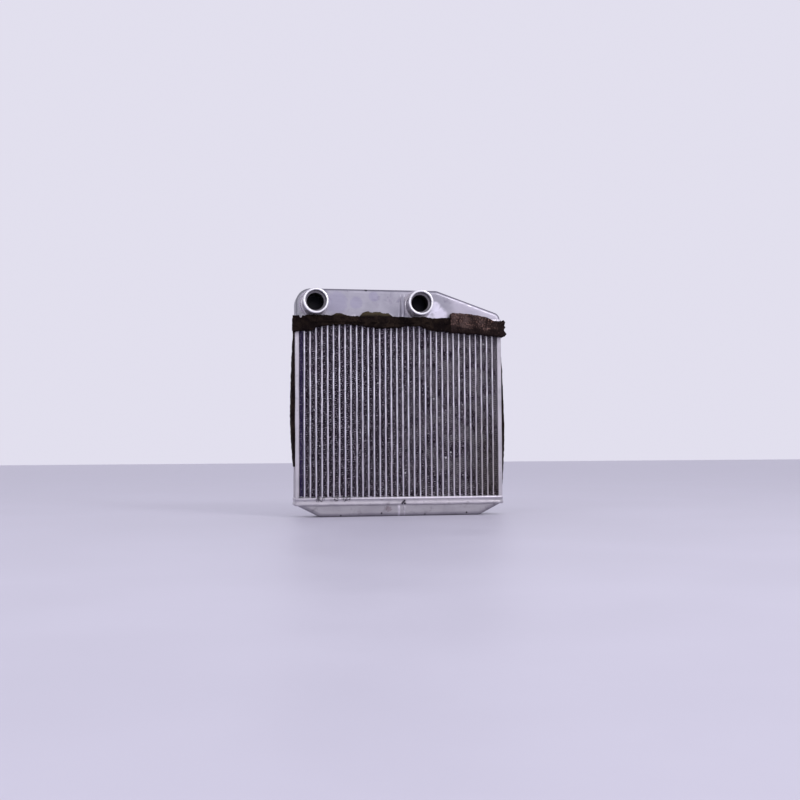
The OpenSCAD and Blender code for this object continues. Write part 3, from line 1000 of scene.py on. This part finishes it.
def drum(x, z, radius, near_y, far_y, name):
    """A plain cylinder along Y that cuts a hole."""
    turn = np.radians(np.arange(0, 360, 5))
    ring = np.column_stack([x + radius * np.cos(turn), z + radius * np.sin(turn)])
    tube = extruded([ring, ring], (near_y, far_y), facing)
    return mesh_object(name, *tube, bpy.data.materials.new(name))


def stub_centre(node):
    low, high = mm_box(node)
    return (low[0] + high[0]) / 2, high[2] - STUB_FOOT_R


def top_tank(material):
    piece = pressed_tank(
        "pressed_top_tank",
        top_tank_outline,
        TOP_BEADS,
        (CORE_HIGH_Z + HEADER_H + 0.8, TANK_TOP_Z - EDGE_R - 0.8),
        material,
        2.0,
        dents=((-38.0, 193.0, 5.0, 0.35), (58.0, 186.0, 7.0, 0.25), (-60.0, 198.0, 4.0, 0.2)),
    )
    holes = []
    for node in STUBS:
        x, z = stub_centre(node)
        holes.append(drum(x, z, STUB_HOLE_R, -TANK_HALF_D - 3, -TANK_HALF_D + 4, "hole_" + node))
    carve(piece, holes)
    return place(piece, "tank_aluminium", "top_tank")


def bottom_tank(material):
    piece = pressed_tank(
        "pressed_bottom_tank",
        bottom_tank_outline,
        BOTTOM_BEADS,
        (EDGE_R + 0.8, CORE_LOW_Z - HEADER_H - 0.8),
        material,
        6.0,
        dents=((-58.0, 5.0, 4.0, 0.3), (40.0, 4.0, 6.0, 0.25)),
    )
    return place(piece, "tank_aluminium", "bottom_tank")


# ---------------------------------------------------------------- side plates


def channel_section(web_x, out_x, web=1.2):
    """Section of a side plate whose flanges reach out to out_x."""
    half = TUBE_HALF_D
    bend = 1.0
    tip = min(0.5, (out_x - web_x) / 4)
    inner = max(out_x, web_x + web + 0.02)
    lower = [
        *arc((web_x + bend, -half + bend), bend, 180, 270, 4),
        *arc((inner - tip, -half + tip), tip, -90, 0, 3),
        *arc((inner - tip, -half + web - tip), tip, 0, 90, 3),
        (web_x + web, -half + web),
    ]
    lower = np.array(lower)
    upper = lower[::-1] * (1, -1)
    return np.concatenate([lower, upper])


def side_plate(side, node, material):
    """Channel-shaped side plate with a rounded flange end and a tongue at both ends."""
    low, high = mm_box(node)
    web_x, out_x = sorted((abs(low[0]), abs(high[0])))
    flange_top = CORE_HIGH_Z - 6.0
    end_r = (out_x - web_x) / 2
    end_z = flange_top - end_r
    round_end = end_z + end_r * np.sin(np.radians(np.arange(0, 91, 10)))
    straight = np.linspace(CORE_LOW_Z, end_z, 90)
    heights = np.unique([*straight, *round_end, flange_top + 0.05, CORE_HIGH_Z])
    sections = []
    for z in heights:
        rise = np.clip((z - end_z) / end_r, 0, 1)
        reach = end_r + end_r * math.sqrt(max(0.0, 1 - rise**2))
        if z > flange_top:
            reach = 0.0
        section = channel_section(web_x, web_x + reach)
        free = smooth_step(section[:, 0], web_x + 1.5, out_x)
        section[:, 0] += free * 0.22 * noise.noise(Vector((side * 9.1, z / 21, 2.5)))
        section[:, 1] += free * 0.16 * noise.noise(Vector((side * 4.7, z / 9, 6.5)))
        sections.append(section * (side, 1))
    a, b, d = web_x, web_x + TONGUE_T, TONGUE_HALF_D
    tongue = np.array([(a, -d), (b, -d), (b, d), (a, d)]) * (side, 1)
    parts = [extruded(sections, heights)]
    for ends in ((low[2], CORE_LOW_Z), (CORE_HIGH_Z, high[2])):
        parts.append(extruded([tongue, tongue], ends))
    name = "channel_plate_left" if side < 0 else "channel_plate_right"
    piece = mesh_object(name, *joined(parts), material, sharp=50, weld=0)
    fix_normals(piece)
    return place(piece, "plate_aluminium", node)


def fix_normals(piece):
    work = bmesh.new()
    work.from_mesh(piece.data)
    bmesh.ops.recalc_face_normals(work, faces=work.faces)
    work.to_mesh(piece.data)
    work.free()


# ---------------------------------------------------------------- stubs


def stub_profile():
    """Radius and distance in front of the core's middle, round a hose stub's wall."""
    face = TANK_HALF_D
    mouth = face + STUB_LENGTH
    back = mouth - 4.0
    bore, socket, neck, flange, spigot = 7.5, 9.25, 10.0, 11.25, 8.6
    fillet = STUB_FOOT_R - neck
    return np.concatenate(
        [
            [(bore, face - TANK_WALL - 0.5), (bore, mouth - 8.3)],
            arc((bore + 0.6, mouth - 7.6), 0.6, 200, 100, 3),
            arc((socket - 0.35, mouth - 6.65), 0.35, -80, 0, 3),
            [(socket, mouth - 3.0)],
            arc((socket + 0.8, mouth - 0.8), 0.8, 180, 90, 5),
            arc((flange - 0.75, mouth - 0.75), 0.75, 90, 0, 5),
            arc((flange - 0.7, back + 0.7), 0.7, 0, -80, 4),
            arc((neck + 0.5, back - 0.4), 0.5, 100, 180, 3),
            [(neck, face + 8.0)],
            arc((STUB_FOOT_R, face + fillet), fillet, 180, 262, 8),
            [(STUB_FOOT_R + 0.35, face - 0.05), (spigot, face - 0.05)],
            [(spigot, face - TANK_WALL - 0.5)],
        ]
    )


def hose_stub(node, material, seed):
    """A turned hose stub with a rolled, slightly knocked flange ring."""
    x, z = stub_centre(node)
    profile = stub_profile()
    turns = np.radians(np.arange(0, 360, 3))
    rows = []
    for turn in turns:
        dx, dz = math.cos(turn), math.sin(turn)
        radius, front = profile[:, 0].copy(), profile[:, 1].copy()
        wobble = noise.noise(Vector((dx * 1.3 + seed, dz * 1.3, 0.3))) * 0.12
        knock = noise.noise(Vector((dx * 4 + seed, dz * 4, 3.3))) * 0.07
        rim = smooth_step(front, TANK_HALF_D + 15, TANK_HALF_D + 20)
        radius += (wobble + knock) * rim
        front += knock * 1.6 * rim * smooth_step(front, TANK_HALF_D + 19, TANK_HALF_D + STUB_LENGTH)
        rows.append(np.column_stack([x + radius * dx, -front, z + radius * dz]))
    points = np.stack(rows)
    foot = points[..., 1] > -(TANK_HALF_D + 2.4)
    outside = points[..., 1] < -TANK_HALF_D + 0.1
    floor_z = CORE_HIGH_Z + HEADER_H + 0.1
    points[..., 2] = np.where(foot & outside, np.maximum(points[..., 2], floor_z), points[..., 2])
    faces = grid_quads(len(turns), len(profile), wrap=True, ring=True)
    # painted shade: the socket and bore are marked to be painted near black, more the deeper they lie
    deep = smooth_step(-profile[:, 1], -(TANK_HALF_D + 14.5), -(TANK_HALF_D + 11.5))
    deep = np.where(profile[:, 0] < 9.3, np.maximum(deep, 0.25 * (profile[:, 0] < 9.26)), 0.0)
    inside = np.tile(deep, len(turns))
    piece = mesh_object(STUBS[node], points.reshape(-1, 3), faces, material, sharp=55, inside=inside)
    return place(piece, "stub_aluminium", node)


def braze_ring(node, material, seed):
    """The uneven bead of braze around a stub's foot."""
    x, z = stub_centre(node)
    turns = np.radians(np.arange(0, 360, 4))
    around = np.radians(np.arange(0, 360, 36))
    rows = []
    floor_z = CORE_HIGH_Z + HEADER_H + 0.15
    for turn in turns:
        lump = noise.noise(Vector((math.cos(turn) * 2.2 + seed, math.sin(turn) * 2.2, 0.7)))
        small = noise.noise(Vector((math.cos(turn) * 9, math.sin(turn) * 9 + seed, 0.7)))
        thick = 0.55 + 0.35 * lump + 0.12 * small
        radius = STUB_FOOT_R + 0.25 + 0.25 * lump + 1.3 * thick * np.cos(around)
        front = -TANK_HALF_D + 0.15 - thick * np.sin(around) * 0.75
        up = np.maximum(z + radius * math.sin(turn), floor_z)
        rows.append(np.column_stack([x + radius * math.cos(turn), front, up]))
    points = np.concatenate(rows)
    faces = grid_quads(len(turns), len(around), wrap=True, ring=True)
    piece = mesh_object("braze_ring_" + node, points, faces, material, sharp=80)
    return place(piece, "stub_aluminium")


# ---------------------------------------------------------------- foam


def foam_sweep(name, node, foam, stations, section, seed, coarse=0.5, fine=0.28):
    """A foam strip carried along stations; section gives the outline at each of them.

    Its surface is torn and pitted by noise.
    """
    rows = np.stack([section(s) for s in stations])
    x, y, z = rows[..., 0], rows[..., 1], rows[..., 2]
    ahead = np.roll(rows, -1, axis=1) - np.roll(rows, 1, axis=1)
    along = np.gradient(rows, axis=0)
    outward = np.cross(along, ahead)
    outward /= np.linalg.norm(outward, axis=-1, keepdims=True) + 1e-9
    middle = rows.mean(axis=1, keepdims=True)
    if ((rows - middle) * outward).sum() < 0:
        outward = -outward
    push = coarse * soft_noise(x, y, z, 6.5, seed)
    push += fine * soft_noise(x, y, z, 1.9, seed + 3)
    push += 0.5 * fine * soft_noise(x, y, z, 0.9, seed + 6)
    push -= 1.5 * fine * smooth_step(soft_noise(x, y, z, 3.2, seed + 8), 0.25, 0.6)
    rows = rows + outward * push[..., None]
    count, sides = rows.shape[:2]
    points = rows.reshape(-1, 3)
    faces = grid_quads(count, sides, wrap=True)
    caps = []
    for end, ring in ((0, rows[0]), (1, rows[-1])):
        centre = ring.mean(axis=0)
        inner = ring + (centre - ring) * 0.5
        start = len(points)
        points = np.concatenate([points, inner, centre[None]])
        first = 0 if end == 0 else (count - 1) * sides
        for i in range(sides):
            j = (i + 1) % sides
            caps.append([first + i, first + j, start + j, start + i])
            caps.append([start + i, start + j, start + sides])
    slot, material = foam
    piece = mesh_object(name, points, faces + caps, material, sharp=75)
    place(piece, slot, node)
    return piece


def resampled(points, count):
    """count points spaced evenly round a closed outline."""
    ring = np.concatenate([points, points[:1]])
    steps = np.linalg.norm(np.diff(ring, axis=0), axis=1)
    travelled = np.concatenate([[0], np.cumsum(steps)])
    wanted = np.linspace(0, travelled[-1], count, endpoint=False)
    return np.column_stack([np.interp(wanted, travelled, ring[:, i]) for i in range(2)])


def soft_rectangle(near, far, low, high, corner, count):
    """count points round a rectangle with round corners, as (depth, height)."""
    radius = min(corner, (high - low) / 2.2, (far - near) / 2.2)
    left, right, bottom, top = near + radius, far - radius, low + radius, high - radius
    centres = [(left, bottom), (right, bottom), (right, top), (left, top)]
    corners = [arc(c, radius, a, a + 90, 4) for c, a in zip(centres, (180, 270, 0, 90))]
    return resampled(np.concatenate(corners), count)


def band_foam(name, node, foam, x_range, lower, upper, front, seed, ragged=0.0):
    """Foam glued along the header and pressed against the tubes below it.

    lower and upper give its edges at each place across the core, front its outer face.
    """
    stations = np.arange(x_range[0], x_range[1] + 0.01, 0.5)
    glued, pressed = FRONT_Y - 0.05, -TUBE_HALF_D - 0.35
    count = 64

    def section(x):
        near, low, high = front(x), lower(x), upper(x)
        step = CORE_HIGH_Z - 0.2
        corners = [((near + 1.5, low + 1.5), 1.5, 180), ((pressed - 0.8, low + 0.8), 0.8, 270)]
        if low < step - 1.5:
            corners += [((pressed - 0.3, step - 0.3), 0.3, 0)]
            corners += [((glued, step), 0.01, 0), ((glued - 0.6, high - 0.6), 0.6, 0)]
        else:
            corners[1] = ((glued - 0.6, low + 0.6), 0.6, 270)
            corners += [((glued - 0.6, high - 0.6), 0.6, 0)]
        corners += [((near + 1.3, high - 1.3), 1.3, 90)]
        ring = resampled(np.concatenate([arc(c, r, a, a + 90, 4) for c, r, a in corners]), count)
        end = float(smooth_step(x, x_range[1] - 5.0, x_range[1]))
        bites = [noise.noise(Vector((2.5, z / 2.6, y / 4))) for y, z in ring]
        bite = noise.noise(Vector((3.3, 0.2, 0.1))) + np.array(bites)
        return np.column_stack([x - ragged * end * (0.8 + 1.6 * bite), ring])

    return foam_sweep(name, node, foam, stations, section, seed)


def through(points, torn):
    """The height of a torn foam edge along the core, through points given from the core's top."""
    xs, zs = zip(*points)

    def height(x):
        tear = noise.noise(Vector((x / 2.3, points[0][1], 0.5)))
        tear += 0.6 * noise.noise(Vector((x / 0.9, points[0][1], 4.5)))
        return CORE_HIGH_Z + float(np.interp(x, xs, zs)) + torn * tear

    return height


def wavy_face(y, inset, swell, wave, seed):
    """The outer face of a foam band, which bulges and sinks along the core."""
    return lambda x: y + inset + swell * noise.noise(Vector((x / wave, seed, 0.9)))


def torn_front_seal(foam):
    """The long dark length of foam on the front of the top header."""
    low_x, low_y = mm_box("front_seal_left")[0][:2]
    seam_x = mm_box("front_seal_right")[0][0]
    lower = [
        (low_x, -6.4), (-86, -5.9), (-79.5, -6.3), (-77.5, -3.4), (-72, -1.7), (-65, -0.7), (-54, -0.3),
        (-40, -0.6), (-28, -2.2), (-17, -3.2), (-5, -2.6), (8, -0.9), (19, -0.7), (27, -3.8),
        (36, -5.4), (seam_x, -5.8),
    ]
    upper = [
        (low_x, 7.3), (-92, 7.6), (-91, 5.2), (-89.6, 5.4), (-88.8, 7.6), (-76, 8.0), (-62, 8.2),
        (-58.5, 9.6), (-54, 10.0), (-51, 8.2), (-44, 7.6), (-37, 7.4), (-34.5, 11.0), (-30, 12.0),
        (-26, 11.2), (-19, 11.5), (-14, 10.2), (-11.5, 10.8), (-7.5, 7.6), (14, 7.2), (22, 7.9),
        (30, 6.6), (seam_x, 7.2),
    ]
    edges = through(lower, 0.45), through(upper, 0.35)
    face = wavy_face(low_y, 0.9, 0.9, 13, 0.3)
    span = (low_x, seam_x + 0.8)
    band_foam("torn_front_seal", "front_seal_left", foam, span, *edges, face, 11.0)


def dirty_front_seal(foam):
    """The short, thick and dirty length of foam at the right of the dark one."""
    low, high = mm_box("front_seal_right")
    lower = [(low[0], -6.2), (57, -6.8), (68, -7.2), (78, -8.0), (86, -8.8), (100, -9.6)]
    upper = [
        (low[0], 10.4), (48, 11.5), (60, 11.4), (72, 9.9), (80, 8.0), (87, 5.2), (91, 4.3), (100, 4.6),
    ]
    edges = through(lower, 0.5), through(upper, 0.3)
    face = wavy_face(low[1], 0.6, 0.9, 11, 5.3)
    span = (low[0], high[0])
    band_foam("dirty_front_seal", "front_seal_right", foam, span, *edges, face, 14.0, ragged=1.6)


def back_header_seal(foam):
    """A straight band of foam on the back, built on the front and turned over."""
    low, high = mm_box("back_seal")
    lower = [(low[0], -5.4), (-30, -4.6), (20, -5.8), (high[0], -5.0)]
    upper = [(low[0], 5.8), (-10, 6.4), (50, 5.9), (high[0], 6.3)]
    edges = through(lower, 0.3), through(upper, 0.25)
    face = wavy_face(-high[1], 0.7, 0.7, 15, 9.3)
    span = (low[0], high[0])
    piece = band_foam("back_header_seal", "back_seal", foam, span, *edges, face, 17.0)
    piece.data.transform(Matrix.Scale(-1, 4, (0, 1, 0)))
    piece.data.flip_normals()


def end_foam(side, node, name, foam):
    """Foam folded over one end of the top header."""
    low, high = mm_box(node)
    out_x = max(abs(low[0]), abs(high[0]))
    rim_x = HEADER_HIGH[0]
    stations = np.arange(low[1], high[1] + 0.01, 0.6)
    count = 44

    def section(y):
        ring = soft_rectangle(rim_x, out_x, low[2], high[2], 1.0, count)
        return np.column_stack([side * ring[:, 0], np.full(count, y), ring[:, 1]])

    return foam_sweep(name, node, foam, stations, section, 20.0 + side, 0.3, 0.22)


def strip_foam(side, node, name, foam):
    """Foam strip glued into a side plate's channel, crowned outwards."""
    low, high = mm_box(node)
    inner_x, out_x = sorted((abs(low[0]), abs(high[0])))
    half_d = high[1]
    crown_z = 94.0 if side < 0 else 76.0
    stations = np.arange(low[2], high[2] + 0.01, 0.7)
    count = 60

    def section(z):
        reach = (z - crown_z) / ((high[2] if z > crown_z else low[2]) - crown_z)
        out = out_x - 2.6 * abs(reach) ** 1.5
        ring = soft_rectangle(inner_x, out, -half_d, half_d, 1.8, count)
        return np.column_stack([side * ring[:, 0], ring[:, 1], np.full(count, z)])

    return foam_sweep(name, node, foam, stations, section, 30.0 + side, 0.35, 0.22)


# ---------------------------------------------------------------- crusts and caught bits


def lump(centre, size, rng, rough=0.35):
    """Points and faces of a small uneven lump."""
    work = bmesh.new()
    bmesh.ops.create_icosphere(work, subdivisions=2, radius=1.0)
    seed = rng.uniform(0, 50)
    points = []
    for vertex in work.verts:
        swell = 1 + rough * noise.noise(vertex.co * 1.7 + Vector((seed, 0, seed)))
        points.append([centre[i] + vertex.co[i] * size[i] * swell for i in range(3)])
    faces = [[v.index for v in face.verts] for face in work.faces]
    work.free()
    return np.array(points), faces


def flux_crust(material):
    """Crumbs of flux where the tubes and fins meet the bottom header, most at the left."""
    rng = random.Random(71)
    parts = []
    for x in TUBE_X:
        left_share = 1.0 if x < -20 else 0.35
        for _ in range(rng.randint(1, 4)):
            if rng.random() > 0.35 + 0.6 * left_share:
                continue
            size = rng.uniform(0.3, 0.6 + 0.4 * left_share)
            aside, forward = rng.uniform(-2.2, 2.2), rng.uniform(-0.8, 1.9)
            centre = (x + aside, -TUBE_HALF_D - forward, CORE_LOW_Z + size * 0.2)
            parts.append(lump(centre, (size * 1.3, size, size * 0.6), rng))
    piece = mesh_object("flux_crust", *joined(parts), material, sharp=80, weld=0)
    return place(piece, "header_aluminium")


def caught_lint(material):
    """A few pale bits caught in the front of the fins."""
    rng = random.Random(37)
    parts = []
    spots = [(-76.0, 29.0), (45.5, 54.0), (47.0, 57.0), (43.0, 52.0), (-28.0, 140.0)]
    for _ in range(16):
        spots.append((rng.uniform(-85, 88), rng.uniform(24, 160)))
    for x, z in spots:
        gap = round((x - TUBE_X[0]) / PITCH - 0.5)
        middle = TUBE_X[0] + (gap + 0.5) * PITCH
        size = rng.uniform(0.35, 0.8)
        centre = (middle + rng.uniform(-0.9, 0.9), -10.9 - rng.uniform(0, 0.3), z)
        parts.append(lump(centre, (size, 0.35, size * rng.uniform(0.5, 1.2)), rng, 0.7))
    piece = mesh_object("caught_lint", *joined(parts), material, sharp=80, weld=0)
    return place(piece, "fin_aluminium")


# ---------------------------------------------------------------- stage, light and camera


def stage():
    """A pale floor."""
    s = Shader("pale_floor")
    cloud = s.noise(160, detail=5)
    s.colour = s.mix(s.between(cloud, 0.3, 0.7), (0.56, 0.545, 0.63), (0.60, 0.585, 0.67))
    material = s.finish(s.between(cloud, 0.3, 0.7, 0.42, 0.5), s.bump(cloud, 0.2), 0.0)
    reach = 6000.0
    corners = [(-reach, -reach, 0), (reach, -reach, 0), (reach, reach, 0), (-reach, reach, 0)]
    mesh_object("floor", corners, [[0, 1, 2, 3]], material)


def area_light(name, place_mm, aim_mm, width, height, power, colour):
    data = bpy.data.lights.new(name, "AREA")
    data.shape = "RECTANGLE"
    data.size, data.size_y = width * MM, height * MM
    data.energy = power
    data.color = colour
    lamp = bpy.data.objects.new(name, data)
    lamp.location = Vector(place_mm) * MM
    aim = Vector(aim_mm) * MM - lamp.location
    lamp.rotation_euler = aim.to_track_quat("-Z", "Y").to_euler()
    bpy.context.scene.collection.objects.link(lamp)


def light():
    world = bpy.data.worlds.new("pale_room")
    world.use_nodes = True
    background = world.node_tree.nodes["Background"]
    background.inputs["Color"].default_value = (0.80, 0.78, 0.90, 1)
    background.inputs["Strength"].default_value = 0.95
    bpy.context.scene.world = world
    middle = (0, 0, 100)
    area_light("key", (700, -1100, 900), middle, 400, 400, 5.5, (1.0, 0.985, 1.0))
    area_light("front", (-120, -1500, 330), middle, 300, 200, 1.2, (1.0, 0.99, 1.0))
    area_light("left", (-1100, -700, 600), middle, 500, 500, 2.0, (0.93, 0.93, 1.0))


def camera():
    """The view of the reference: a little left of the middle, low, looking slightly up."""
    yaw, pitch, roll = math.radians(10.044), math.radians(2.944), math.radians(0.353)
    forward = Vector(
        (math.sin(yaw) * math.cos(pitch), math.cos(yaw) * math.cos(pitch), math.sin(pitch))
    )
    right = Vector((math.cos(yaw), -math.sin(yaw), 0))
    up = right.cross(forward)
    tilted_right = right * math.cos(roll) - up * math.sin(roll)
    tilted_up = up * math.cos(roll) + right * math.sin(roll)
    data = bpy.data.cameras.new("camera")
    data.sensor_width = 36
    data.lens = 47.25
    data.clip_start = 0.01
    eye = bpy.data.objects.new("camera", data)
    turn = Matrix((tilted_right, tilted_up, -forward)).transposed()
    eye.matrix_world = Matrix.Translation(Vector((-165.85, -947.24, 55.76)) * MM) @ turn.to_4x4()
    bpy.context.scene.collection.objects.link(eye)
    bpy.context.scene.camera = eye


# ---------------------------------------------------------------- everything


def build():
    tubes = tube_material()
    for index in range(len(TUBES)):
        flat_tube(index, tubes)
    fins = fin_material()
    for bank in range(len(BANKS)):
        fin_bank(bank, fins)
    headers = header_material()
    header("drawn_bottom_header", "bottom_header", CORE_LOW_Z, -1, headers, 3.0)
    header("drawn_top_header", "top_header", CORE_HIGH_Z, 1, headers, 8.0)
    tanks = tank_material()
    top_tank(tanks)
    bottom_tank(bottom_tank_material())
    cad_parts["tank_partition"].data.materials.clear()
    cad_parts["tank_partition"].data.materials.append(tanks)
    plates = plate_material()
    side_plate(-1, "left_side_plate", plates)
    side_plate(1, "right_side_plate", plates)
    stubs = stub_material()
    flux = flux_material()
    for seed, node in enumerate(STUBS):
        hose_stub(node, stubs, 2.0 + 3 * seed)
        braze_ring(node, flux, 1.0 + 4 * seed)
    dark = foam_material(
        "dark_foam", (0.007, 0.004, 0.004), (0.026, 0.017, 0.012), (0.085, 0.062, 0.045), 0.8
    )
    dirty = foam_material(
        "dirty_foam", (0.022, 0.013, 0.012), (0.085, 0.056, 0.050), (0.30, 0.20, 0.17), 0.95, True
    )
    torn_front_seal(dark)
    dirty_front_seal(dirty)
    back_header_seal(dark)
    hands = ((-1, "left"), (1, "right"))
    for side, hand in hands:
        end_foam(side, hand + "_end_seal", "folded_seal_" + hand, dark)
    for side, hand in hands:
        strip_foam(side, hand + "_side_seal", "side_strip_" + hand, dark)
    flux_crust(flux)
    caught_lint(lint_material())


camera()
light()
stage()
build()
bpy.context.scene.view_settings.view_transform = "Standard"
bpy.context.view_layer.update()
